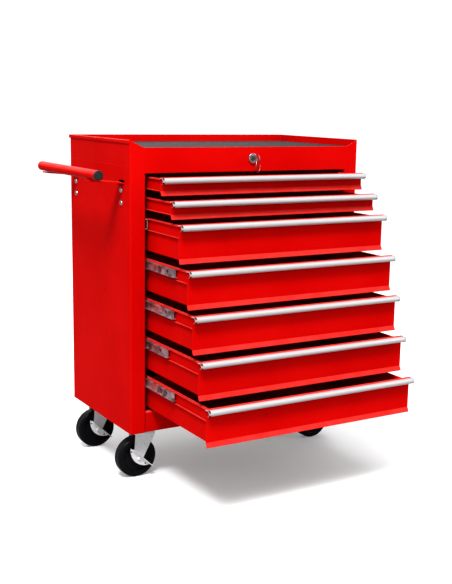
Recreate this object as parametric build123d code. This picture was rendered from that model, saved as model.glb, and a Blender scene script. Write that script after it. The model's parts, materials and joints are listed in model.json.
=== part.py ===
from build123d import *
import os

# Rolling tool box: a seven-drawer sheet-steel cabinet on four casters, with a
# push handle on its left side.  Millimetres, +Z up, the front faces -Y.
# Everything is modelled about the cabinet's centre line on the floor, then
# moved so that the origin is the bottom centre of the whole object at rest.

# ---- cabinet ---------------------------------------------------------------
cabinet_width = 616.0
cabinet_depth = 345.0
panel_sheet = 1.2
bend_radius = 3.0
underside_z = 120.0
rim_z = 786.0
front_rim_z = 770.0
rim_bevel_width = 33.0
rim_hem_height = 8.4
rim_hem_thickness = 3.4
rim_hem_radius = 1.6
tray_floor_z = 766.0
mat_thickness = 3.0
mat_edge_gap = 0.5
skirt_z = 729.0

half_width = cabinet_width / 2
front_y = -cabinet_depth / 2
back_y = cabinet_depth / 2

# ---- drawer opening --------------------------------------------------------
opening_half_width = 271.0
opening_top_z = 714.0
opening_bottom_z = 169.0
pillar_return = 32.0
base_floor_z = 121.2

# ---- drawers ---------------------------------------------------------------
drawer_sheet = 1.0
front_half_width = 269.8
tray_half_width = 259.0
tray_length = 304.0
shallow_pitch = 45.9
deep_pitch = 91.2
first_strip_top_z = 709.1
shallow_front_drop = 38.8
deep_front_drop = 82.6
lip_height = 10.6
lip_flare = 5.0
tray_floor_above_lip = 6.4
tray_side_below_strip = 4.0
tray_back_below_strip = 10.0
hem_height = 6.0
strip_height = 12.7
strip_depth = 16.5
strip_lower_return = 1.0
strip_sheet = 1.2
strip_half_length = 272.0
strip_back_gap = 0.2
flange_depth = 7.0

drawer_count = 7
shallow_count = 2
# how far each drawer stands open at rest, top to bottom
rest_opening = [70.0, 118.0, 156.0, 194.0, 218.0, 246.0, 281.0]
short_travel = 225.0
full_travel = 300.0

# ---- drawer slides ---------------------------------------------------------
slide_centre_below_strip = 15.0
rail_height = 22.0
rail_sheet = 1.0
rail_front_setback = 2.0
shallow_rail_front_setback = 16.0
rail_length = 300.0
rail_flange_half_width = 265.5
rail_back_half_width = 270.9
middle_height = 18.0
middle_length = 280.0
middle_inner_half_width = 261.2
middle_web_half_width = 265.0
middle_outer_half_width = 269.4
runner_top_below_strip = 3.2
runner_bottom_below_strip = 30.2
runner_proud = 4.5
runner_length = 290.0
middle_setback = 5.0
access_hole_radius = 4.0
# how far the middle member of each fully extending slide stands out at rest
first_middle_drawer = 4
middle_rest_out = {4: 133.5, 5: 127.0, 6: 101.0, 7: 131.0}
upright_front_y = 105.0
upright_back_y = 135.0

# ---- lock ------------------------------------------------------------------
lock_x = 4.0
lock_z = 743.6
barrel_face_radius = 12.0
barrel_face_proud = 4.0
barrel_radius = 9.5
barrel_length = 20.0
plug_radius = 6.0
running_clearance = 0.05
cam_length = 14.0
cam_half_width = 5.0
cam_sheet = 2.0
cam_gap = 1.0
keyway_width = 2.2
keyway_height = 8.0
key_sheet = 1.6
key_blade_length = 24.0
key_blade_width = 6.4
key_bow_radius = 10.0
key_bow_hole_radius = 4.4
key_bow_hole_offset = 3.8
key_bow_centre_out = 17.5
key_notch_pitch = 3.2
ring_radius = 15.4
ring_wire_radius = 0.7
ring_turn = 40.0
lock_turn = 90.0
lock_bar_drop = 10.0
lock_bar_width = 20.0
lock_bar_sheet = 2.0
lock_bar_top_z = 734.0
lock_bar_bottom_z = 200.0
lock_bar_face_y = 166.0
lock_bar_rivet_z = [570.0, 290.0]
hook_front_y = 121.0

# ---- push handle -----------------------------------------------------------
handle_x = -380.0
handle_z = 711.0
handle_radius = 11.0
handle_wall = 1.4
handle_front_y = -166.0
handle_back_y = 172.0
handle_cap_thickness = 4.0
bracket_y = [-127.0, 134.0]
bracket_width = 26.0
bracket_sheet = 3.0
bracket_slot_z = 691.5
bracket_foot_z = 636.0
handle_bolt_z = [675.0, 646.5]
handle_bolt_radius = 3.0
handle_bolt_head_radius = 6.0

# ---- casters ---------------------------------------------------------------
wheel_radius = 48.0
wheel_width = 27.0
hub_half_width = 15.4
axle_radius = 4.0
plate_length = 95.0
plate_width = 67.0
plate_sheet = 2.5
plate_bolt_x = 38.0
plate_bolt_y = 25.0
swivel_x = -255.0
swivel_y = [-120.0, 120.0]
trail = 18.0
rigid_x = 258.0
rigid_y = [-80.0, 80.0]
fork_half_gap = 16.5
fork_sheet = 2.5
crown_z = 104.0
king_pin_radius = 5.0
caster_bolt_radius = 3.0
brake_radius = 40.7
brake_chord_offset = 5.2
brake_sagitta = 17.4
brake_angle = -43.5
brake_sheet = 2.0
brake_gap = 0.4


# ---- helpers ---------------------------------------------------------------
def block(x_range, y_range, z_range):
    """A box between two values on each axis."""
    size = [abs(r[1] - r[0]) for r in (x_range, y_range, z_range)]
    centre = [(r[0] + r[1]) / 2 for r in (x_range, y_range, z_range)]
    return Pos(*centre) * Box(*size)


def rod_y(x, z, radius, y_range):
    """A round bar along Y."""
    length = abs(y_range[1] - y_range[0])
    return Pos(x, sum(y_range) / 2, z) * Rot(90, 0, 0) * Cylinder(radius, length)


def rod_x(y, z, radius, x_range):
    """A round bar along X."""
    length = abs(x_range[1] - x_range[0])
    return Pos(sum(x_range) / 2, y, z) * Rot(0, 90, 0) * Cylinder(radius, length)


def rod_z(x, y, radius, z_range):
    """A round bar along Z."""
    length = abs(z_range[1] - z_range[0])
    return Pos(x, y, sum(z_range) / 2) * Cylinder(radius, length)


def folded_sheet(points, sheet, radius):
    """The section of a bent sheet: its outer line and the thickness to its left."""
    line = FilletPolyline(*points, radius=radius)
    return make_face(offset(line, amount=sheet, side=Side.LEFT, closed=True).edges())


def along_x(section, x_range):
    """Extrude a section drawn as (y, z) along X."""
    placed = Plane(origin=(x_range[0], 0, 0), x_dir=(0, 1, 0), z_dir=(1, 0, 0)) * section
    return extrude(placed, x_range[1] - x_range[0], dir=(1, 0, 0))


def along_y(section, y_range):
    """Extrude a section drawn as (x, z) along Y."""
    placed = Plane(origin=(0, y_range[0], 0), x_dir=(1, 0, 0), z_dir=(0, -1, 0)) * section
    return extrude(placed, y_range[1] - y_range[0], dir=(0, 1, 0))


def along_z(section, z_range):
    """Extrude a section drawn as (x, y) along Z."""
    return extrude(Pos(0, 0, z_range[0]) * section, z_range[1] - z_range[0], dir=(0, 0, 1))


def mirrored(shape):
    """The same shape on the other side of the cabinet's middle plane."""
    return mirror(shape, about=Plane.YZ)


def group(shapes):
    """Separate pieces kept together in one node."""
    return Compound(children=list(shapes))


def drawer_top(number):
    """Height of the top of a drawer's pull strip."""
    shallow_steps = min(number - 1, shallow_count)
    deep_steps = max(number - 1 - shallow_count, 0)
    return first_strip_top_z - shallow_steps * shallow_pitch - deep_steps * deep_pitch


def drawer_drop(number):
    """Height of a drawer's front below the top of its strip."""
    return shallow_front_drop if number <= shallow_count else deep_front_drop


def drawer_travel(number):
    """How far a drawer opens from closed."""
    return short_travel if number < first_middle_drawer else full_travel


nodes = {}

# ---- top tray: pan, rims and skirts, with the lock hole in its front -------
inner_half_width = half_width - panel_sheet
inner_front_y = front_y + panel_sheet
inner_back_y = back_y - panel_sheet

outer_outline = RectangleRounded(cabinet_width, cabinet_depth, bend_radius)
inner_outline = RectangleRounded(
    cabinet_width - 2 * panel_sheet, cabinet_depth - 2 * panel_sheet, bend_radius - panel_sheet
)
tray = along_z(outer_outline - inner_outline, (opening_top_z, rim_z))
# the side and back skirts stop higher than the front one
tray -= block(
    (-half_width - 1, half_width + 1),
    (front_y + bend_radius, back_y + 1),
    (opening_top_z - 1, skirt_z),
)
# the front rim is low between two bevels that climb to the side rims
bevel_foot = half_width - rim_bevel_width
front_cut = Polygon(
    (-half_width + 1.5, rim_z + 2),
    (-half_width + 1.5, rim_z - 1.5),
    (-bevel_foot, front_rim_z),
    (bevel_foot, front_rim_z),
    (half_width - 1.5, rim_z - 1.5),
    (half_width - 1.5, rim_z + 2),
    align=None,
)
tray -= along_y(front_cut, (front_y - 1, inner_front_y + 0.6))
tray += block(
    (-inner_half_width, inner_half_width),
    (inner_front_y, inner_back_y),
    (tray_floor_z - panel_sheet, tray_floor_z),
)
# folded hem behind the low front rim
tray += block(
    (-bevel_foot, bevel_foot),
    (inner_front_y, inner_front_y + panel_sheet),
    (tray_floor_z, front_rim_z),
)
# return along the top of the drawer opening
tray += block(
    (-opening_half_width, opening_half_width),
    (inner_front_y, front_y + 16),
    (opening_top_z, opening_top_z + panel_sheet),
)
# rolled hems outside the side and back rims
hem = RectangleRounded(rim_hem_thickness, rim_hem_height, rim_hem_radius)
hem_z = rim_z - rim_hem_height / 2
hem_out = rim_hem_thickness / 2
for side in (-1, 1):
    hem_x = side * (inner_half_width + hem_out)
    tray += along_y(Pos(hem_x, hem_z) * hem, (front_y + 5, inner_back_y + rim_hem_thickness))
tray += along_x(Pos(inner_back_y + hem_out, hem_z) * hem, (-inner_half_width, inner_half_width))
tray -= rod_y(lock_x, lock_z, barrel_radius + 0.1, (front_y - 2, inner_front_y + 2))
nodes["top_tray"] = tray

# the mat stops just short of the rims and of the front hem
mat_half_width = inner_half_width - mat_edge_gap
mat_front_y = inner_front_y + panel_sheet + mat_edge_gap
mat_back_y = inner_back_y - mat_edge_gap
nodes["tray_mat"] = along_z(
    Pos(0, (mat_front_y + mat_back_y) / 2)
    * RectangleRounded(2 * mat_half_width, mat_back_y - mat_front_y, 2.0),
    (tray_floor_z, tray_floor_z + mat_thickness),
)


# ---- side panels: pillar, side and rear return in one bent sheet -----------
def side_panel():
    """The right-hand side panel."""
    outline = folded_sheet(
        [
            (opening_half_width, front_y + pillar_return),
            (opening_half_width, front_y),
            (half_width, front_y),
            (half_width, back_y),
            (half_width - 22, back_y),
        ],
        panel_sheet,
        bend_radius,
    )
    panel = along_z(outline, (underside_z, skirt_z))
    # the pillar stops under the tray's front skirt
    panel -= block(
        (opening_half_width - 1, half_width + 1),
        (front_y - 1, front_y + bend_radius),
        (opening_top_z, skirt_z + 1),
    )
    # the inner return runs from above the cabinet floor to the skirt
    for z_range in (
        (underside_z - 1, base_floor_z + panel_sheet + 1),
        (opening_top_z, skirt_z + 1),
    ):
        panel -= block(
            (opening_half_width - 1, opening_half_width + bend_radius),
            (inner_front_y, front_y + pillar_return + 1),
            z_range,
        )
    # stepped-in flange that the tray's skirt slides over
    panel += block(
        (inner_half_width - panel_sheet, inner_half_width),
        (front_y + 20, back_y - 20),
        (skirt_z - 14, skirt_z + 26),
    )
    # tab behind the front skirt
    panel += block(
        (opening_half_width + 6, half_width - 8),
        (inner_front_y, inner_front_y + panel_sheet),
        (opening_top_z - 12, opening_top_z + 30),
    )
    return panel


right_panel = side_panel()
left_panel = mirrored(side_panel())
for y in bracket_y:
    left_panel -= block(
        (-half_width - 1, -inner_half_width + 2),
        (y - bracket_width / 2 - 2, y + bracket_width / 2 + 2),
        (bracket_slot_z - 6, bracket_slot_z + 6),
    )
    for z in handle_bolt_z:
        left_panel -= rod_x(y, z, handle_bolt_radius + 0.1, (-half_width - 1, -inner_half_width + 1))
nodes["side_panel_left"] = left_panel
nodes["side_panel_right"] = right_panel

# ---- back panel, just inside the side panels' rear returns -----------------
nodes["back_panel"] = block(
    (-inner_half_width + 2.5, inner_half_width - 2.5),
    (inner_back_y - panel_sheet, inner_back_y),
    (underside_z + 4, tray_floor_z - 4),
)

# ---- base pan: cabinet floor with up-turned edges and the front rail -------
caster_places = [(swivel_x, y) for y in swivel_y] + [(rigid_x, y) for y in rigid_y]
caster_bolt_places = [
    (x + dx, y + dy)
    for x, y in caster_places
    for dx in (-plate_bolt_x, plate_bolt_x)
    for dy in (-plate_bolt_y, plate_bolt_y)
]
pan_back = inner_back_y - panel_sheet
base = block(
    (-inner_half_width, inner_half_width),
    (inner_front_y, pan_back),
    (base_floor_z, base_floor_z + panel_sheet),
)
base = fillet(base.edges().filter_by(Axis.Z), 4.0)
for side in (-1, 1):
    base += block(
        (side * (inner_half_width - panel_sheet), side * inner_half_width),
        (inner_front_y + 5, pan_back - 5),
        (base_floor_z, base_floor_z + 22),
    )
base += block(
    (-inner_half_width + 5, inner_half_width - 5),
    (pan_back - panel_sheet, pan_back),
    (base_floor_z, base_floor_z + 22),
)
front_rail = folded_sheet(
    [
        (front_y + 14, opening_bottom_z),
        (front_y, opening_bottom_z),
        (front_y, underside_z),
        (front_y + 14, underside_z),
    ],
    panel_sheet,
    bend_radius,
)
base += along_x(front_rail, (-opening_half_width + 0.1, opening_half_width - 0.1))
for x, y in caster_bolt_places:
    base -= rod_z(x, y, caster_bolt_radius + 0.2, (base_floor_z - 1, base_floor_z + 3))
nodes["base_pan"] = base

# ---- rear uprights that carry the back ends of the slides ------------------
upright_section = folded_sheet(
    [
        (opening_half_width, upright_back_y),
        (opening_half_width, upright_front_y),
        (inner_half_width - 0.1, upright_front_y),
    ],
    panel_sheet,
    2.0,
)
upright = along_z(upright_section, (base_floor_z + 26, opening_top_z - 4))
nodes["rear_uprights"] = group([upright, mirrored(upright)])


# ---- drawer slides ---------------------------------------------------------
def cabinet_rail(number):
    """The fixed outer member of one right-hand slide."""
    centre = drawer_top(number) - slide_centre_below_strip
    web, tips = rail_back_half_width, rail_flange_half_width
    start_z, end_z = centre - rail_height / 2, centre + rail_height / 2
    # the plain rails of the upper drawers turn their backs to the drawer
    if number < first_middle_drawer:
        web, tips = tips, web
        start_z, end_z = end_z, start_z
    section = folded_sheet(
        [(tips, start_z), (web, start_z), (web, end_z), (tips, end_z)],
        rail_sheet,
        2.0,
    )
    setback = shallow_rail_front_setback if number <= shallow_count else rail_front_setback
    return along_y(section, (front_y + setback, front_y + rail_front_setback + rail_length))


def middle_member(number):
    """The right-hand middle member of a fully extending slide, at rest."""
    centre = drawer_top(number) - slide_centre_below_strip
    start = front_y - middle_rest_out[number]
    y_range = (start, start + middle_length)
    web = block(
        (middle_web_half_width, middle_web_half_width + rail_sheet),
        y_range,
        (centre - middle_height / 2, centre + middle_height / 2),
    )
    member = web
    for side in (-1, 1):
        edge = centre + side * middle_height / 2
        member += block(
            (middle_inner_half_width, middle_outer_half_width),
            y_range,
            (edge, edge - side * rail_sheet),
        )
        # curled ball races along both edges of each flange
        for x in (middle_inner_half_width + 0.9, middle_outer_half_width - 0.9):
            member += rod_y(x, edge - side * 0.9, 0.9, y_range)
    # screw access hole, and the ball-cage stop stamped near the front end
    web_range = (middle_web_half_width - 1, middle_web_half_width + 2)
    member -= rod_x(start + 38, centre, access_hole_radius, web_range)
    member += block(
        (middle_web_half_width - 1.6, middle_web_half_width),
        (start + 10, start + 16),
        (centre - 2.5, centre + 2.5),
    )
    return member


rails = [cabinet_rail(number) for number in range(1, drawer_count + 1)]
nodes["slide_rails_right"] = group(rails)
nodes["slide_rails_left"] = group([mirrored(rail) for rail in rails])
for number in range(first_middle_drawer, drawer_count + 1):
    member = middle_member(number)
    nodes[f"drawer_{number}_middle_slides"] = group([member, mirrored(member)])


# ---- drawers ---------------------------------------------------------------
def drawer_tray(number):
    """A drawer's open box with the slide runners welded to its sides, closed."""
    top = drawer_top(number)
    floor = top - drawer_drop(number) + tray_floor_above_lip
    start = front_y + drawer_sheet
    end = start + tray_length
    box = block(
        (-tray_half_width, tray_half_width),
        (start, end),
        (floor, floor + drawer_sheet),
    )
    side_top = top - tray_side_below_strip
    for side in (-1, 1):
        outer = side * tray_half_width
        inner = side * (tray_half_width - drawer_sheet)
        box += block((inner, outer), (start, end), (floor, side_top))
        # the top edge is folded over twice, leaving a rounded rim
        rim_x = side * (tray_half_width - 1.5)
        box += rod_y(rim_x, side_top - 0.4, 1.5, (start, end))
        box += block(
            (side * (tray_half_width - 3.0), side * (tray_half_width - 2.2)),
            (start, end),
            (side_top - hem_height, side_top - 0.4),
        )
    back_top = top - tray_back_below_strip
    box += block((-tray_half_width, tray_half_width), (end - drawer_sheet, end), (floor, back_top))
    box += rod_x(end - 1.2, back_top - 0.4, 1.2, (-tray_half_width + 1, tray_half_width - 1))
    # runner: a shallow channel on each side
    runner_top = top - runner_top_below_strip - 1.6
    runner_bottom = top - runner_bottom_below_strip
    runner = folded_sheet(
        [
            (tray_half_width + runner_proud, runner_top),
            (tray_half_width, runner_top),
            (tray_half_width, runner_bottom),
            (tray_half_width + runner_proud, runner_bottom),
        ],
        drawer_sheet,
        1.5,
    )
    runner = along_y(runner, (start, start + runner_length))
    box += runner + mirrored(runner)
    return box


def drawer_front(number):
    """A drawer's front panel: top flange, face and flared bottom lip, closed."""
    top = drawer_top(number)
    lip_bottom = top - drawer_drop(number)
    section = folded_sheet(
        [
            (front_y + drawer_sheet - lip_flare, lip_bottom),
            (front_y + drawer_sheet, lip_bottom + lip_height),
            (front_y + drawer_sheet, top + drawer_sheet),
            (front_y - flange_depth, top + drawer_sheet),
        ],
        drawer_sheet,
        0.9,
    )
    return along_x(section, (-front_half_width, front_half_width))


def pull_strip(number):
    """The aluminium pull strip: a channel with a half-round nose, open to the back, closed."""
    top = drawer_top(number)
    radius = strip_height / 2
    front = front_y - strip_depth
    nose_y = front + radius
    back = front_y - strip_back_gap
    nose = Pos(nose_y, top - radius) * (Circle(radius) - Circle(radius - strip_sheet))
    section = nose - Pos(nose_y + radius, top - radius) * Rectangle(2 * radius, 3 * radius)
    section += Pos((nose_y + back) / 2, top - strip_sheet / 2) * Rectangle(back - nose_y, strip_sheet)
    section += Pos(nose_y + strip_lower_return / 2, top - strip_height + strip_sheet / 2) * Rectangle(
        strip_lower_return, strip_sheet
    )
    return along_x(section, (-strip_half_length, strip_half_length))


for number in range(1, drawer_count + 1):
    opened = Pos(0, -rest_opening[number - 1], 0)
    nodes[f"drawer_{number}_tray"] = opened * drawer_tray(number)
    nodes[f"drawer_{number}_front"] = opened * drawer_front(number)
    nodes[f"drawer_{number}_pull_strip"] = opened * pull_strip(number)

# ---- lock: barrel, nut, plug with its cam, and the keys --------------------
barrel_face_y = front_y - barrel_face_proud
barrel = rod_y(lock_x, lock_z, barrel_face_radius, (barrel_face_y, front_y))
barrel = fillet(barrel.faces().sort_by(Axis.Y)[0].edges(), 2.0)
barrel += rod_y(lock_x, lock_z, barrel_radius, (front_y - 0.5, front_y + barrel_length))
barrel -= rod_y(lock_x, lock_z, plug_radius + running_clearance, (barrel_face_y - 1, front_y + 30))
barrel -= rod_y(lock_x, lock_z, plug_radius + 1.6, (barrel_face_y - 1, barrel_face_y + 1.0))
nodes["lock_barrel"] = barrel

nut_y = inner_front_y + 0.2
nut_section = Pos(lock_x, lock_z) * RegularPolygon(14.0, 6)
nut = along_y(nut_section, (nut_y, nut_y + 4))
nut -= rod_y(lock_x, lock_z, barrel_radius, (nut_y - 1, nut_y + 6))
nodes["lock_nut"] = nut

plug_front_y = barrel_face_y + 0.6
plug_back_y = front_y + barrel_length + cam_gap
plug = rod_y(lock_x, lock_z, plug_radius, (plug_front_y, plug_back_y + cam_sheet))
cam = block(
    (lock_x, lock_x + cam_length),
    (plug_back_y, plug_back_y + cam_sheet),
    (lock_z - cam_half_width, lock_z + cam_half_width),
)
cam += rod_y(lock_x, lock_z, 7.5, (plug_back_y, plug_back_y + cam_sheet))
plug += cam
plug -= block(
    (lock_x - keyway_width / 2, lock_x + keyway_width / 2),
    (plug_front_y - 1, plug_front_y + 18),
    (lock_z - keyway_height / 2, lock_z + keyway_height / 2),
)
nodes["lock_plug"] = plug


# the key in the lock stands upright with its bow in front of the plug
key_outline = Circle(key_bow_radius)
key_outline += Pos(key_bow_radius, 0) * Rectangle(5, 9)
key_outline += Pos(key_bow_radius + key_blade_length / 2 - 2, 0) * Rectangle(
    key_blade_length + 4, key_blade_width
)
key_outline -= Pos(-key_bow_hole_offset, 0) * Circle(key_bow_hole_radius)
for step in range(4):
    notch_x = key_bow_radius + 6.0 + key_notch_pitch * step
    key_outline -= Pos(notch_x, key_blade_width / 2 + 0.2) * Rot(0, 0, 45) * Rectangle(1.8, 1.8)
key_centre_y = plug_front_y - key_bow_centre_out
key_plane = Plane(
    origin=(lock_x + key_sheet / 2, key_centre_y, lock_z), x_dir=(0, 1, 0), z_dir=(-1, 0, 0)
)
nodes["key_in_lock"] = extrude(key_plane * key_outline, key_sheet)

# the ring hangs through the hole in the bow, turned part way towards the side
ring_y = key_centre_y - key_bow_hole_offset
nodes["key_ring"] = (
    Pos(lock_x, ring_y, lock_z - ring_radius)
    * Rot(0, 0, ring_turn)
    * Rot(90, 0, 0)
    * Torus(ring_radius, ring_wire_radius)
)

# ---- lock bar: a sliding upright with an arm under the cam and a hook ------
# ---- over the back of each drawer ------------------------------------------
bar_x = (lock_x - lock_bar_width / 2, lock_x + lock_bar_width / 2)
bar = block(
    bar_x,
    (lock_bar_face_y, lock_bar_face_y + lock_bar_sheet),
    (lock_bar_bottom_z, lock_bar_top_z),
)
bar += block(
    bar_x,
    (plug_back_y - 2, lock_bar_face_y + lock_bar_sheet),
    (lock_bar_top_z - 3, lock_bar_top_z),
)
for number in range(1, drawer_count + 1):
    top = drawer_top(number)
    bar += block(bar_x, (hook_front_y, lock_bar_face_y), (top + 4, top + 6))
    bar += block(bar_x, (hook_front_y, hook_front_y + 2), (top - 6, top + 6))
for z in lock_bar_rivet_z:
    slot = block(
        (lock_x - 3.3, lock_x + 3.3),
        (lock_bar_face_y - 1, lock_bar_face_y + 3),
        (z, z + lock_bar_drop),
    )
    bar -= slot
    bar -= rod_y(lock_x, z, 3.3, (lock_bar_face_y - 1, lock_bar_face_y + 3))
    bar -= rod_y(lock_x, z + lock_bar_drop, 3.3, (lock_bar_face_y - 1, lock_bar_face_y + 3))
nodes["lock_bar"] = bar

rivets = []
for z in lock_bar_rivet_z:
    rivet = rod_y(lock_x, z, 3.0, (lock_bar_face_y - 1, inner_back_y - panel_sheet))
    rivet += rod_y(lock_x, z, 6.0, (lock_bar_face_y - 2.4, lock_bar_face_y - 0.4))
    rivet += rod_y(lock_x, z, 5.0, (lock_bar_face_y + lock_bar_sheet + 0.4, inner_back_y - panel_sheet))
    rivets.append(rivet)
nodes["lock_bar_rivets"] = group(rivets)

# ---- push handle: tube, caps, two strap brackets and their bolts -----------
tube = rod_y(handle_x, handle_z, handle_radius, (handle_front_y, handle_back_y))
tube -= rod_y(handle_x, handle_z, handle_radius - handle_wall, (handle_front_y - 1, handle_back_y + 1))
nodes["handle_tube"] = tube

caps = []
for end, outward in ((handle_front_y, -1), (handle_back_y, 1)):
    tip = end + outward * handle_cap_thickness
    cap = rod_y(handle_x, handle_z, handle_radius, (end, tip))
    outer_face = cap.faces().sort_by(Axis.Y)[0 if outward < 0 else -1]
    cap = fillet(outer_face.edges(), 2.4)
    cap += rod_y(handle_x, handle_z, handle_radius - handle_wall, (end - outward * 14, end + outward * 0.5))
    caps.append(cap)
nodes["handle_end_caps"] = group(caps)

bracket_line = FilletPolyline(
    (-inner_half_width + bracket_sheet, bracket_foot_z),
    (-inner_half_width + bracket_sheet, bracket_slot_z + 0.6),
    (handle_x - 9, handle_z - handle_radius),
    radius=4.0,
)
bracket_face = make_face(
    offset(bracket_line, amount=bracket_sheet, side=Side.LEFT, closed=True).edges()
)
brackets = []
bolts = []
for y in bracket_y:
    bracket = along_y(bracket_face, (y - bracket_width / 2, y + bracket_width / 2))
    for z in handle_bolt_z:
        bracket -= rod_x(y, z, handle_bolt_radius + 0.1, (-half_width, -half_width + 12))
        bolt = Pos(-half_width, y, z) * Rot(0, -90, 0) * Cylinder(
            handle_bolt_head_radius, 3.6, align=(Align.CENTER, Align.CENTER, Align.MIN)
        )
        bolt = fillet(bolt.faces().sort_by(Axis.X)[0].edges(), 3.0)
        bolt -= block((-half_width - 5, -half_width - 2.4), (y - 7, y + 7), (z - 0.8, z + 0.8))
        bolt += rod_x(y, z, handle_bolt_radius, (-half_width - 1, -half_width + 16))
        nut_plane = Plane(
            origin=(-inner_half_width + bracket_sheet, y, z), x_dir=(0, 1, 0), z_dir=(1, 0, 0)
        )
        bolt += extrude(nut_plane * RegularPolygon(5.8, 6), 5.0)
        bolts.append(bolt)
    brackets.append(bracket)
nodes["handle_brackets"] = group(brackets)
nodes["handle_bolts"] = group(bolts)


# ---- casters ---------------------------------------------------------------
def wheel(x, y):
    """A solid wheel whose axle runs along Y."""
    half = wheel_width / 2
    profile = Polygon(
        (axle_radius + running_clearance, -hub_half_width),
        (11.0, -hub_half_width),
        (12.5, -half + 4.5),
        (33.0, -half + 4.5),
        (35.0, -half),
        (wheel_radius - 2.5, -half),
        (wheel_radius, -half + 3.5),
        (wheel_radius, half - 3.5),
        (wheel_radius - 2.5, half),
        (35.0, half),
        (33.0, half - 4.5),
        (12.5, half - 4.5),
        (11.0, hub_half_width),
        (axle_radius + running_clearance, hub_half_width),
        align=None,
    )
    rim_corners = [vertex for vertex in profile.vertices() if vertex.X > 34.0]
    profile = fillet(rim_corners, 2.0)
    return Pos(x, y, wheel_radius) * Rot(0, 12, 0) * revolve(profile, axis=Axis.Y)


def fork_leg(axle_x, top_half, y_range):
    """One leg of a fork, centred on its own top, with the axle's hole."""
    eye = Pos(axle_x, wheel_radius) * Circle(11.5)
    hull = make_hull(
        (Polyline((-top_half, crown_z), (top_half, crown_z)).edges() + eye.edges())
    )
    leg = along_y(hull, y_range)
    return leg - rod_y(axle_x, wheel_radius, axle_radius, (y_range[0] - 1, y_range[1] + 1))


def caster_plate(x, y):
    """A top plate with its four bolt holes."""
    plate = Pos(x, y, base_floor_z - plate_sheet / 2) * Box(plate_length, plate_width, plate_sheet)
    plate = fillet(plate.edges().filter_by(Axis.Z), 6.0)
    for dx in (-plate_bolt_x, plate_bolt_x):
        for dy in (-plate_bolt_y, plate_bolt_y):
            plate -= rod_z(x + dx, y + dy, caster_bolt_radius + 0.2, (base_floor_z - 4, base_floor_z + 1))
    return plate


def axle(x, y, front_reach):
    """An axle bolt with a domed head in front and a nut behind."""
    head_y = y - front_reach
    back = y + fork_half_gap + fork_sheet
    bolt = rod_y(x, wheel_radius, axle_radius, (head_y - 1, back + 6))
    head = rod_y(x, wheel_radius, 4.8, (head_y - 3.6, head_y))
    bolt += fillet(head.faces().sort_by(Axis.Y)[0].edges(), 2.6)
    nut_plane = Plane(origin=(x, back, wheel_radius), x_dir=(1, 0, 0), z_dir=(0, 1, 0))
    bolt += extrude(nut_plane * RegularPolygon(7.0, 6), 5.0)
    return bolt


fork_outer = fork_half_gap + fork_sheet
plate_bottom_z = base_floor_z - plate_sheet
crown_top_z = crown_z + 2.5
race_top_z = crown_top_z + 4.0


def swivel_fork(y):
    """A swivel fork with its lower race, trailing towards -X."""
    fork = Pos(0, 0, (crown_z + crown_top_z) / 2) * Box(50, 2 * fork_outer, crown_top_z - crown_z)
    fork += rod_z(0, 0, 26.0, (crown_z, race_top_z))
    fork = fillet(fork.faces().sort_by(Axis.Z)[-1].edges(), 2.5)
    for y_range in ((-fork_outer, -fork_half_gap), (fork_half_gap, fork_outer)):
        fork += fork_leg(-trail, 25.0, y_range)
    fork -= rod_z(0, 0, king_pin_radius + running_clearance, (crown_z - 5, race_top_z + 5))
    fork -= rod_z(0, 0, 18.0, (race_top_z - 2.0, race_top_z + 1))
    return Pos(swivel_x, y, 0) * fork


def brake_lever(y):
    """A rocking brake lever: a segment plate with a tread ledge on its chord."""
    circle_centre = brake_radius - brake_sagitta
    segment = Pos(0, brake_chord_offset + circle_centre) * Circle(brake_radius)
    segment -= Pos(0, brake_chord_offset + 100) * Rectangle(200, 200)
    plate = extrude(segment, brake_sheet)
    for x in (-26.0, 22.5):
        plate -= Pos(x, brake_chord_offset - 5.0, 0) * Cylinder(2.2, 10)
    reach = (brake_radius ** 2 - circle_centre ** 2) ** 0.5
    ledge = block((-reach + 6, reach + 8), (brake_chord_offset, brake_chord_offset + brake_sheet), (0, 8.0))
    plate += ledge
    plate -= Cylinder(axle_radius + running_clearance, 20)
    facing = Plane(
        origin=(swivel_x - trail, y - fork_outer - brake_gap, wheel_radius),
        x_dir=(1, 0, 0),
        z_dir=(0, -1, 0),
    )
    return facing.location * Rot(0, 0, brake_angle) * plate


for name, y in zip(("front", "rear"), swivel_y):
    nodes[f"{name}_swivel_fork"] = swivel_fork(y)
    nodes[f"{name}_swivel_axle"] = axle(swivel_x - trail, y, fork_outer + 2 * brake_gap + brake_sheet)
    nodes[f"{name}_brake_lever"] = brake_lever(y)
    nodes[f"{name}_left_wheel"] = wheel(swivel_x - trail, y)
for name, y in zip(("front", "rear"), rigid_y):
    nodes[f"{name}_right_wheel"] = wheel(rigid_x, y)

plates = []
for y in swivel_y:
    plate = caster_plate(swivel_x, y)
    plate += rod_z(swivel_x, y, 24.0, (race_top_z + 0.6, plate_bottom_z))
    plate += rod_z(swivel_x, y, 17.0, (race_top_z - 1.4, race_top_z + 1))
    plate += rod_z(swivel_x, y, king_pin_radius, (crown_z - 3.5, plate_bottom_z))
    plate += rod_z(swivel_x, y, 8.0, (crown_z - 4.0, crown_z - 0.5))
    plates.append(plate)
nodes["swivel_mount_plates"] = group(plates)

forks = []
for y in rigid_y:
    fork = caster_plate(0, 0)
    for y_range in ((-fork_outer, -fork_half_gap), (fork_half_gap, fork_outer)):
        fork += fork_leg(0, 25.0, y_range)
        fork += block((-25, 25), y_range, (crown_z - 0.5, plate_bottom_z))
    forks.append(Pos(rigid_x, y, 0) * fork)
nodes["rigid_caster_forks"] = group(forks)
nodes["rigid_caster_axles"] = group([axle(rigid_x, y, fork_outer) for y in rigid_y])

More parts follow.
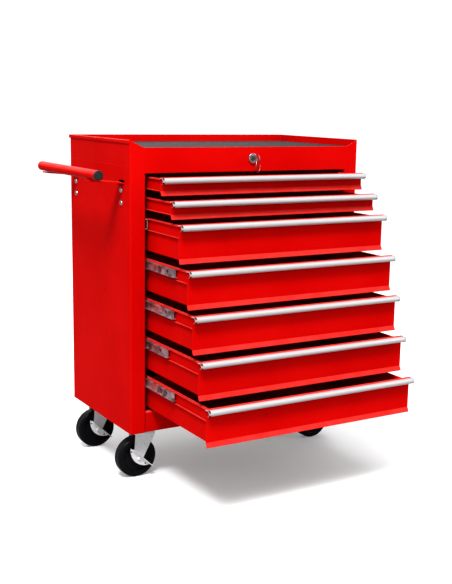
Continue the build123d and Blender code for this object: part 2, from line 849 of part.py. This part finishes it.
caster_bolts = []
for x, y in caster_bolt_places:
    bolt = rod_z(x, y, caster_bolt_radius, (plate_bottom_z - 1, base_floor_z + 12))
    bolt += Pos(x, y, plate_bottom_z - 4) * extrude(RegularPolygon(5.6, 6), 4)
    bolt += Pos(x, y, base_floor_z + panel_sheet) * extrude(RegularPolygon(5.6, 6), 5)
    caster_bolts.append(bolt)
nodes["caster_bolts"] = group(caster_bolts)

# ---- move the origin to the bottom centre of the whole object and save -----
boxes = [shape.bounding_box() for shape in nodes.values()]
low = [min(tuple(box.min)[axis] for box in boxes) for axis in range(3)]
high = [max(tuple(box.max)[axis] for box in boxes) for axis in range(3)]
shift = Pos(-(low[0] + high[0]) / 2, -(low[1] + high[1]) / 2, -low[2])

if __name__ == "__main__":
    os.makedirs("parts", exist_ok=True)
    for name, shape in nodes.items():
        export_step(shift * shape, f"parts/{name}.step")
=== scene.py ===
import json
import math

import bmesh
import bpy
from mathutils import Matrix, Vector


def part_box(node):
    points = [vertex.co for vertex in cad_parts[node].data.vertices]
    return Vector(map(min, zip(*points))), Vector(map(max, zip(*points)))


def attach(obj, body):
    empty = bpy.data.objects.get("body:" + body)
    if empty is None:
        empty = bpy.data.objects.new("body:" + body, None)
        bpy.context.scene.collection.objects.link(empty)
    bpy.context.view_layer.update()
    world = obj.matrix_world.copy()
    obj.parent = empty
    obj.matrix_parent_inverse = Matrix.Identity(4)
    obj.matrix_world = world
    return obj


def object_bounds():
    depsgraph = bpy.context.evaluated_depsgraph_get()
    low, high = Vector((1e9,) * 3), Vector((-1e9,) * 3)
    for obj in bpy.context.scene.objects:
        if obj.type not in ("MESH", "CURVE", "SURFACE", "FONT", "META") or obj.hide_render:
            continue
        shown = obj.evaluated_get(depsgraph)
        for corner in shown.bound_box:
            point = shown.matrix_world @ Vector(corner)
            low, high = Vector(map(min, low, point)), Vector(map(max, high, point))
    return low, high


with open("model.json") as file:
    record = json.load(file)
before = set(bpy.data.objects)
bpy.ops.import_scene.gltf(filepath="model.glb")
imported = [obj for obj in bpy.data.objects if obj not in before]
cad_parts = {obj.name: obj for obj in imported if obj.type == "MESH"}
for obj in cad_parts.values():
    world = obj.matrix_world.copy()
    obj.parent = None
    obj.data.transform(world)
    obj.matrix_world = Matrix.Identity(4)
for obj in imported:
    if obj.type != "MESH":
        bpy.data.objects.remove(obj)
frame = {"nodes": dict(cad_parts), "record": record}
cad_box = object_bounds()
nodes = frame["nodes"]
record = frame["record"]

# Lengths are metres, and colours are linear RGB.
drawers = range(1, 8)
ball_slide_drawers = range(4, 8)  # drawers 1 to 3 run on plain rails


# ---- shader helpers ---------------------------------------------------------
class Shader:
    """A material's node tree with short calls for the nodes used here."""

    def __init__(self, name):
        self.material = bpy.data.materials.new(name)
        self.material.use_nodes = True
        self.tree = self.material.node_tree
        self.tree.nodes.clear()
        self.surface = self.tree.nodes.new("ShaderNodeBsdfPrincipled")
        output = self.tree.nodes.new("ShaderNodeOutputMaterial")
        self.tree.links.new(self.surface.outputs["BSDF"], output.inputs["Surface"])
        self.place = self.tree.nodes.new("ShaderNodeTexCoord").outputs["Object"]

    def node(self, kind, **values):
        made = self.tree.nodes.new(kind)
        for key, value in values.items():
            setattr(made, key, value)
        return made

    def feed(self, socket, value):
        """Link an output, or set a constant, on an input socket."""
        if isinstance(value, bpy.types.NodeSocket):
            self.tree.links.new(value, socket)
        else:
            socket.default_value = value

    def set(self, **values):
        """Feed the surface's sockets; a socket's name is written with _ for each space."""
        for key, value in values.items():
            self.feed(self.surface.inputs[key.replace("_", " ")], value)

    def normal(self):
        """The face's own normal, before any rounding or bump."""
        return self.node("ShaderNodeNewGeometry").outputs["Normal"]

    def along(self, axis, vector):
        """One coordinate of a vector."""
        made = self.node("ShaderNodeSeparateXYZ")
        self.feed(made.inputs["Vector"], vector)
        return made.outputs[axis]

    def stretched(self, scale):
        """The object's own coordinates, scaled per axis."""
        made = self.node("ShaderNodeMapping")
        self.feed(made.inputs["Vector"], self.place)
        made.inputs["Scale"].default_value = scale
        return made.outputs["Vector"]

    def noise(self, scale, detail=3.0, rough=0.5, vector=None):
        made = self.node("ShaderNodeTexNoise")
        self.feed(made.inputs["Vector"], vector if vector is not None else self.place)
        made.inputs["Scale"].default_value = scale
        made.inputs["Detail"].default_value = detail
        made.inputs["Roughness"].default_value = rough
        return made.outputs["Fac"]

    def spangle(self, scale):
        """One random value per crystal-like cell."""
        cells = self.node("ShaderNodeTexVoronoi", feature="F1")
        self.feed(cells.inputs["Vector"], self.place)
        cells.inputs["Scale"].default_value = scale
        value = self.node("ShaderNodeSeparateColor")
        self.feed(value.inputs["Color"], cells.outputs["Color"])
        return value.outputs[0]

    def ramp(self, value, low, high, out_low=0.0, out_high=1.0):
        """Rescale a value, clamped at both ends."""
        made = self.node("ShaderNodeMapRange", clamp=True)
        self.feed(made.inputs["Value"], value)
        made.inputs["From Min"].default_value = low
        made.inputs["From Max"].default_value = high
        made.inputs["To Min"].default_value = out_low
        made.inputs["To Max"].default_value = out_high
        return made.outputs["Result"]

    def maths(self, operation, a, b):
        made = self.node("ShaderNodeMath", operation=operation)
        self.feed(made.inputs[0], a)
        self.feed(made.inputs[1], b)
        return made.outputs[0]

    def mix(self, factor, a, b):
        """Mix two colours, each an RGB triple or a node's output."""
        made = self.node("ShaderNodeMix", data_type="RGBA")
        self.feed(made.inputs["Factor"], factor)
        for socket, colour in (("A", a), ("B", b)):
            constant = not isinstance(colour, bpy.types.NodeSocket)
            self.feed(made.inputs[socket], (*colour, 1.0) if constant else colour)
        return made.outputs["Result"]

    def edges(self, radius):
        """1 along convex and concave edges, 0 on flat faces; and the rounded normal."""
        flat_cosine, edge_cosine = 0.995, 0.80
        bevel = self.node("ShaderNodeBevel", samples=4)
        bevel.inputs["Radius"].default_value = radius
        dot = self.node("ShaderNodeVectorMath", operation="DOT_PRODUCT")
        self.feed(dot.inputs[0], bevel.outputs["Normal"])
        self.feed(dot.inputs[1], self.normal())
        edge = self.ramp(dot.outputs["Value"], flat_cosine, edge_cosine)
        return edge, bevel.outputs["Normal"]

    def bump(self, height, distance, strength=1.0, normal=None):
        made = self.node("ShaderNodeBump")
        self.feed(made.inputs["Height"], height)
        made.inputs["Distance"].default_value = distance
        made.inputs["Strength"].default_value = strength
        if normal is not None:
            self.feed(made.inputs["Normal"], normal)
        return made.outputs["Normal"]


# ---- materials --------------------------------------------------------------
def red_powder_coat():
    """Baked paint: fine orange peel, paler worn edges, and a painted sheen on what faces up."""
    s = Shader("red_powder_coat")
    edge, rounded = s.edges(radius=0.0012)
    cloud = s.ramp(s.noise(scale=5.0, detail=4.0), 0.35, 0.65)
    colour = s.mix(cloud, (0.66, 0.0016, 0.0012), (0.74, 0.0040, 0.0028))
    speck = s.ramp(s.noise(scale=900.0, detail=2.0), 0.60, 0.75)
    colour = s.mix(s.maths("MULTIPLY", speck, 0.25), colour, (0.78, 0.015, 0.010))
    worn = s.ramp(s.noise(scale=70.0, detail=4.0), 0.45, 0.75, out_low=0.25, out_high=0.9)
    colour = s.mix(s.maths("MULTIPLY", edge, worn), colour, (0.86, 0.06, 0.045))
    # a painted sheen, a paler colour on what faces up, also on the flared lips at the bottom of the drawer
    # fronts
    sheen_facing_up = s.ramp(s.along("Z", s.normal()), 0.15, 0.55)
    sheen_patches = s.ramp(s.noise(scale=30.0, detail=4.0), 0.3, 0.7, out_low=0.35, out_high=0.6)
    colour = s.mix(s.maths("MULTIPLY", sheen_facing_up, sheen_patches), colour, (0.80, 0.10, 0.085))
    # light that bounces off the paint is muted, as a studio's black flags would do
    bounced = s.node("ShaderNodeLightPath").outputs["Is Diffuse Ray"]
    colour = s.mix(s.maths("MULTIPLY", bounced, 0.85), colour, (0.10, 0.09, 0.09))
    level = s.stretched((1.0, 1.0, 8.0))
    scuff = s.ramp(s.noise(scale=40.0, detail=5.0, rough=0.6, vector=level), 0.62, 0.75)
    gloss = s.ramp(s.noise(scale=12.0), 0.3, 0.7, out_low=0.26, out_high=0.36)
    rough = s.maths("ADD", gloss, s.maths("MULTIPLY", scuff, 0.03))
    peel = s.bump(s.noise(scale=420.0, detail=2.0, rough=0.4), distance=0.00006, strength=0.5, normal=rounded)
    s.set(Base_Color=colour, Roughness=rough, Normal=peel, Specular_IOR_Level=0.008)
    return s.material


def brushed_aluminium():
    """Long streaks along X, the way the pull strips are brushed."""
    s = Shader("brushed_aluminium")
    edge, rounded = s.edges(radius=0.0006)
    streak = s.noise(scale=60.0, detail=4.0, rough=0.6, vector=s.stretched((0.15, 30.0, 30.0)))
    fine = s.noise(scale=160.0, detail=2.0, vector=s.stretched((0.2, 40.0, 40.0)))
    colour = s.mix(s.ramp(streak, 0.35, 0.65), (0.58, 0.57, 0.575), (0.66, 0.65, 0.655))
    colour = s.mix(s.maths("MULTIPLY", edge, 0.5), colour, (0.96, 0.96, 0.96))
    rough = s.ramp(s.maths("ADD", streak, fine), 0.6, 1.4, out_low=0.30, out_high=0.46)
    grain = s.bump(fine, distance=0.00003, strength=0.6, normal=rounded)
    s.set(Base_Color=colour, Metallic=0.35, Roughness=rough, Normal=grain)
    return s.material


def zinc_plate(name, low, high, cell, metal, shade_below=None):
    """Spangled zinc between two colours.  Given a height, it is painted dark as shade below it,
    and on the faces above it that don't look towards the front."""
    s = Shader(name)
    edge, rounded = s.edges(radius=0.0006)
    crystals = s.maths("MULTIPLY", s.spangle(scale=cell), 0.5)
    patch = s.maths("ADD", crystals, s.maths("MULTIPLY", s.noise(scale=60.0, detail=4.0), 0.6))
    colour = s.mix(s.ramp(patch, 0.2, 0.9), low, high)
    # edges painted paler: a painted highlight along them
    colour = s.mix(s.maths("MULTIPLY", edge, 0.6), colour, (0.93, 0.93, 0.94))
    if shade_below is not None:
        fade = 0.001
        # painted shade: dark below the height and on faces that don't look towards the front
        below = s.ramp(s.along("Z", s.place), shade_below + fade, shade_below - fade)
        turned_away = s.ramp(s.along("Y", s.normal()), -0.8, -0.4)
        painted_shade = s.maths("MAXIMUM", below, turned_away)
        colour = s.mix(s.maths("MULTIPLY", painted_shade, 0.94), colour, (0.012, 0.006, 0.006))
    rough = s.ramp(patch, 0.2, 0.9, out_low=0.40, out_high=0.26)
    scratch = s.noise(scale=300.0, rough=0.6, vector=s.stretched((1.0, 0.15, 1.0)))
    scratched = s.bump(scratch, distance=0.00004, strength=0.5, normal=rounded)
    s.set(Base_Color=colour, Metallic=metal, Roughness=rough, Normal=scratched)
    return s.material


def polished(name, low, high):
    """Plated metal between two colours, in faint cloudy patches."""
    s = Shader(name)
    rounded = s.edges(radius=0.0004)[1]
    colour = s.mix(s.ramp(s.noise(scale=80.0), 0.3, 0.7), low, high)
    rough = s.ramp(s.noise(scale=220.0, detail=4.0), 0.3, 0.75, out_low=0.16, out_high=0.30)
    ripple = s.bump(s.noise(scale=500.0), distance=0.00001, strength=0.4, normal=rounded)
    s.set(Base_Color=colour, Metallic=1.0, Roughness=rough, Normal=ripple)
    return s.material


def moulding(name, low, high, roughness):
    """Plastic or rubber between two colours, with a little dust and edges rubbed paler."""
    s = Shader(name)
    edge, rounded = s.edges(radius=0.0010)
    colour = s.mix(s.ramp(s.noise(scale=30.0, detail=4.0), 0.35, 0.7), low, high)
    dust = s.ramp(s.noise(scale=260.0, detail=4.0, rough=0.6), 0.55, 0.80)
    colour = s.mix(s.maths("MULTIPLY", dust, 0.35), colour, tuple(2.0 * part for part in high))
    colour = s.mix(s.maths("MULTIPLY", edge, 0.3), colour, tuple(3.0 * part for part in high))
    rough = s.ramp(s.noise(scale=90.0), 0.3, 0.7, out_low=roughness - 0.06, out_high=roughness + 0.08)
    grain = s.bump(s.noise(scale=700.0), distance=0.00008, strength=0.6, normal=rounded)
    s.set(Base_Color=colour, Roughness=rough, Normal=grain, Specular_IOR_Level=0.15)
    return s.material


def grey_mat():
    """Matt fine-grained foam rubber."""
    s = Shader("grey_mat")
    cloud = s.ramp(s.noise(scale=14.0, detail=5.0), 0.3, 0.7)
    # the pink tint in the dark grey is painted reflection of the red rims
    colour = s.mix(cloud, (0.032, 0.022, 0.023), (0.048, 0.034, 0.035))
    grain = s.noise(scale=1500.0, detail=2.0, rough=0.6)
    colour = s.mix(s.ramp(grain, 0.5, 0.8), colour, (0.075, 0.058, 0.059))
    rough = s.ramp(grain, 0.2, 0.8, out_low=0.62, out_high=0.82)
    pits = s.bump(grain, distance=0.0002, strength=0.7)
    s.set(Base_Color=colour, Roughness=rough, Normal=pits, Specular_IOR_Level=0.1)
    return s.material


finishes = {
    "red_powder_coat": red_powder_coat(),
    "brushed_aluminium": brushed_aluminium(),
    "zinc_plated_steel": zinc_plate(
        "zinc_plated_steel", (0.88, 0.88, 0.90), (0.99, 0.99, 1.0), cell=260.0, metal=0.15
    ),
    "polished_chrome": polished("polished_chrome", (0.42, 0.41, 0.42), (0.58, 0.57, 0.58)),
    "nickel_plated_steel": polished("nickel_plated_steel", (0.34, 0.32, 0.31), (0.56, 0.54, 0.52)),
    "black_plastic": moulding(
        "black_plastic", (0.020, 0.020, 0.022), (0.035, 0.034, 0.036), roughness=0.46
    ),
    "black_rubber": moulding(
        "black_rubber", (0.0045, 0.0038, 0.0050), (0.0075, 0.0065, 0.0080), roughness=0.38
    ),
    "grey_mat": grey_mat(),
}

# looks of single nodes that differ from the rest of their slot
special = {"lock_plug": polished("dark_lock_face", (0.16, 0.13, 0.12), (0.30, 0.26, 0.24))}
# the pink tint of this steel is painted reflection of the red paint around it
slide_steel = zinc_plate(
    "slide_steel", (0.10, 0.055, 0.065), (0.78, 0.66, 0.70), cell=75.0, metal=0.75
)
for number in ball_slide_drawers:
    special[f"drawer_{number}_middle_slides"] = slide_steel
# the rails are painted dark as shade; the plain ones, which are above the ball slides, keep bright
# front-facing cut ends
ball_slide_tray_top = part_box(f"drawer_{ball_slide_drawers[0]}_tray")[1][2]
rail_steel = zinc_plate(
    "rail_steel",
    (0.60, 0.60, 0.62),
    (0.90, 0.90, 0.91),
    cell=260.0,
    metal=0.4,
    shade_below=ball_slide_tray_top + 0.005,
)
special["slide_rails_left"] = rail_steel
special["slide_rails_right"] = rail_steel

slot_of = {part["node"]: part["material_slot"] for part in record["subparts"]}
for name, thing in nodes.items():
    thing.data.materials.clear()
    thing.data.materials.append(special.get(name, finishes[slot_of[name]]))


# ---- plugs in the ends of the pull strips -----------------------------------
cap_length = 0.0048
cap_proud = 0.0002  # how far a plug stands out of its strip, endways and up and down
cap_back = 0.0006  # from the centre of the round nose to the flat back
cap_rounding = 0.0008
cap_arc_steps = 24


def strip_cap(name, x_inside, x_outside, nose_y, middle_z, radius):
    """A moulded D-shaped plug with a rounded outer edge; its outer face has material 1."""
    outline = []
    for step in range(cap_arc_steps + 1):
        angle = math.radians(90.0 + 180.0 * step / cap_arc_steps)
        outline.append((nose_y + radius * math.cos(angle), middle_z + radius * math.sin(angle)))
    outline.append((nose_y + cap_back, middle_z - radius))
    outline.append((nose_y + cap_back, middle_z + radius))
    middle_y = sum(y for y, z in outline) / len(outline)
    outward = 1.0 if x_outside > x_inside else -1.0
    shape = bmesh.new()
    rings = []
    for x, inset in (
        (x_inside, 0.0),
        (x_outside - outward * cap_rounding, 0.0),
        (x_outside, cap_rounding),
    ):
        scale = 1.0 - inset / radius
        ring = []
        for y, z in outline:
            place = (x, middle_y + (y - middle_y) * scale, middle_z + (z - middle_z) * scale)
            ring.append(shape.verts.new(place))
        rings.append(ring)
    for first, second in zip(rings, rings[1:]):
        for index in range(len(outline)):
            after = (index + 1) % len(outline)
            shape.faces.new((first[index], first[after], second[after], second[index]))
    shape.faces.new(rings[0])
    shape.faces.new(rings[-1]).material_index = 1
    bmesh.ops.recalc_face_normals(shape, faces=shape.faces)
    mesh = bpy.data.meshes.new(name)
    shape.to_mesh(mesh)
    shape.free()
    return mesh


# one plug's plastic in a lit and a shaded copy: painted light and painted shade
lit_plastic = moulding("lit_plastic", (0.36, 0.35, 0.35), (0.44, 0.43, 0.43), roughness=0.50)
shaded_plastic = moulding("shaded_plastic", (0.030, 0.022, 0.022), (0.045, 0.032, 0.032), roughness=0.55)
# the material of a plug's side wall, and of its outer face; the dark left side walls are painted shade and
# the grey right ones the same plug painted lit
cap_looks = {
    "left": (shaded_plastic, finishes["red_powder_coat"]),
    "right": (lit_plastic, shaded_plastic),
}
for number in drawers:
    strip_low, strip_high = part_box(f"drawer_{number}_pull_strip")
    radius = (strip_high[2] - strip_low[2]) / 2 + cap_proud
    nose_y = strip_low[1] + radius  # the plug's nose is level with the strip's
    middle_z = (strip_low[2] + strip_high[2]) / 2
    for side, end, outward in (("left", strip_low[0], -1.0), ("right", strip_high[0], 1.0)):
        name = f"drawer_{number}_strip_cap_{side}"
        x_inside = end - outward * cap_length
        x_outside = end + outward * cap_proud
        mesh = strip_cap(name, x_inside, x_outside, nose_y, middle_z, radius)
        for look in cap_looks[side]:
            mesh.materials.append(look)
        cap = bpy.data.objects.new(name, mesh)
        bpy.context.collection.objects.link(cap)
        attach(cap, f"drawer_{number}")


# ---- floor ------------------------------------------------------------------
floor_z = cad_box[0][2]
floor_reach = 12.0
pale_floor = Shader("pale_floor")
cloud = pale_floor.ramp(pale_floor.noise(scale=3.0, detail=4.0), 0.3, 0.7)
pale = pale_floor.mix(cloud, (0.90, 0.90, 0.90), (0.93, 0.93, 0.93))
# the floor throws less light back on the cabinet than it shows the camera
seen = pale_floor.node("ShaderNodeLightPath").outputs["Is Camera Ray"]
pale_floor.set(
    Base_Color=pale_floor.mix(seen, (0.30, 0.30, 0.30), pale),
    Emission_Color=pale_floor.mix(seen, (0.0, 0.0, 0.0), (0.17, 0.17, 0.17)),
    Emission_Strength=1.0,
    Roughness=0.6,
)
floor_mesh = bpy.data.meshes.new("floor")
corners = [(-1, -1), (1, -1), (1, 1), (-1, 1)]
floor_mesh.from_pydata([(floor_reach * x, floor_reach * y, 0.0) for x, y in corners], [], [(0, 1, 2, 3)])
floor_mesh.materials.append(pale_floor.material)
floor = bpy.data.objects.new("floor", floor_mesh)
floor.location.z = floor_z
bpy.context.collection.objects.link(floor)


# ---- light ------------------------------------------------------------------
# the studio's walls light the object less than they show the camera
wall_light, wall_seen = 0.47, 1.05
world = bpy.data.worlds.new("studio")
bpy.context.scene.world = world
world.use_nodes = True
background = world.node_tree.nodes["Background"]
background.inputs["Color"].default_value = (1.0, 1.0, 1.0, 1.0)
path = world.node_tree.nodes.new("ShaderNodeLightPath")
strength = world.node_tree.nodes.new("ShaderNodeMapRange")
strength.inputs["To Min"].default_value = wall_light
strength.inputs["To Max"].default_value = wall_seen
world.node_tree.links.new(path.outputs["Is Camera Ray"], strength.inputs["Value"])
world.node_tree.links.new(strength.outputs["Result"], background.inputs["Strength"])


def lamp(name, kind, energy, direction):
    """A light that shines along a direction."""
    data = bpy.data.lights.new(name, kind)
    data.energy = energy
    made = bpy.data.objects.new(name, data)
    made.rotation_euler = Vector(direction).to_track_quat("-Z", "Y").to_euler()
    bpy.context.collection.objects.link(made)
    return made


def soft_box(name, place, target, width, height, watts):
    made = lamp(name, "AREA", watts, Vector(target) - Vector(place))
    made.location = place
    made.data.shape = "RECTANGLE"
    made.data.size, made.data.size_y = width, height


soft_box("key", (-1.9, -1.9, 4.0), (0.0, -0.1, 0.4), width=1.0, height=1.0, watts=144.0)
soft_box("front", (-1.8, -2.6, 1.1), (0.0, -0.1, 0.45), width=1.8, height=1.6, watts=6.0)
soft_box("right", (2.6, -1.6, 1.5), (0.1, -0.1, 0.4), width=1.6, height=1.8, watts=12.0)
soft_box("back", (0.6, 2.8, 1.9), (0.0, 0.1, 0.4), width=2.4, height=1.6, watts=25.0)
overhead = lamp("overhead", "SUN", energy=1.35, direction=(0.14, 0.42, -1.0))
overhead.data.angle = math.radians(34.0)


# ---- camera -----------------------------------------------------------------
# fitted to the photo's straight edges, and placed from the cabinet's middle on the floor
camera_left, camera_forward, camera_height = 1.2368, 2.1684, 0.870
yaw, pitch, roll = math.radians(31.71), math.radians(11.36), math.radians(1.15)
back_low, back_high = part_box("back_panel")
cabinet_x = (back_low[0] + back_high[0]) / 2
cabinet_y = (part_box("side_panel_left")[0][1] + back_high[1]) / 2

camera_data = bpy.data.cameras.new("camera")
camera_data.sensor_fit = "HORIZONTAL"
camera_data.sensor_width = 36.0
camera_data.lens = 79.8
camera_data.shift_x = -0.0465
camera_data.shift_y = 0.0268
camera_data.clip_end = 60.0
camera = bpy.data.objects.new("camera", camera_data)
bpy.context.collection.objects.link(camera)
camera.location = (cabinet_x - camera_left, cabinet_y - camera_forward, floor_z + camera_height)
turn = Matrix.Rotation(-yaw, 4, "Z") @ Matrix.Rotation(math.pi / 2 - pitch, 4, "X")
turn = turn @ Matrix.Rotation(roll, 4, "Z")
camera.rotation_euler = turn.to_euler()
bpy.context.scene.camera = camera
bpy.context.scene.view_settings.view_transform = "Standard"
bpy.context.scene.view_settings.look = "Medium High Contrast"
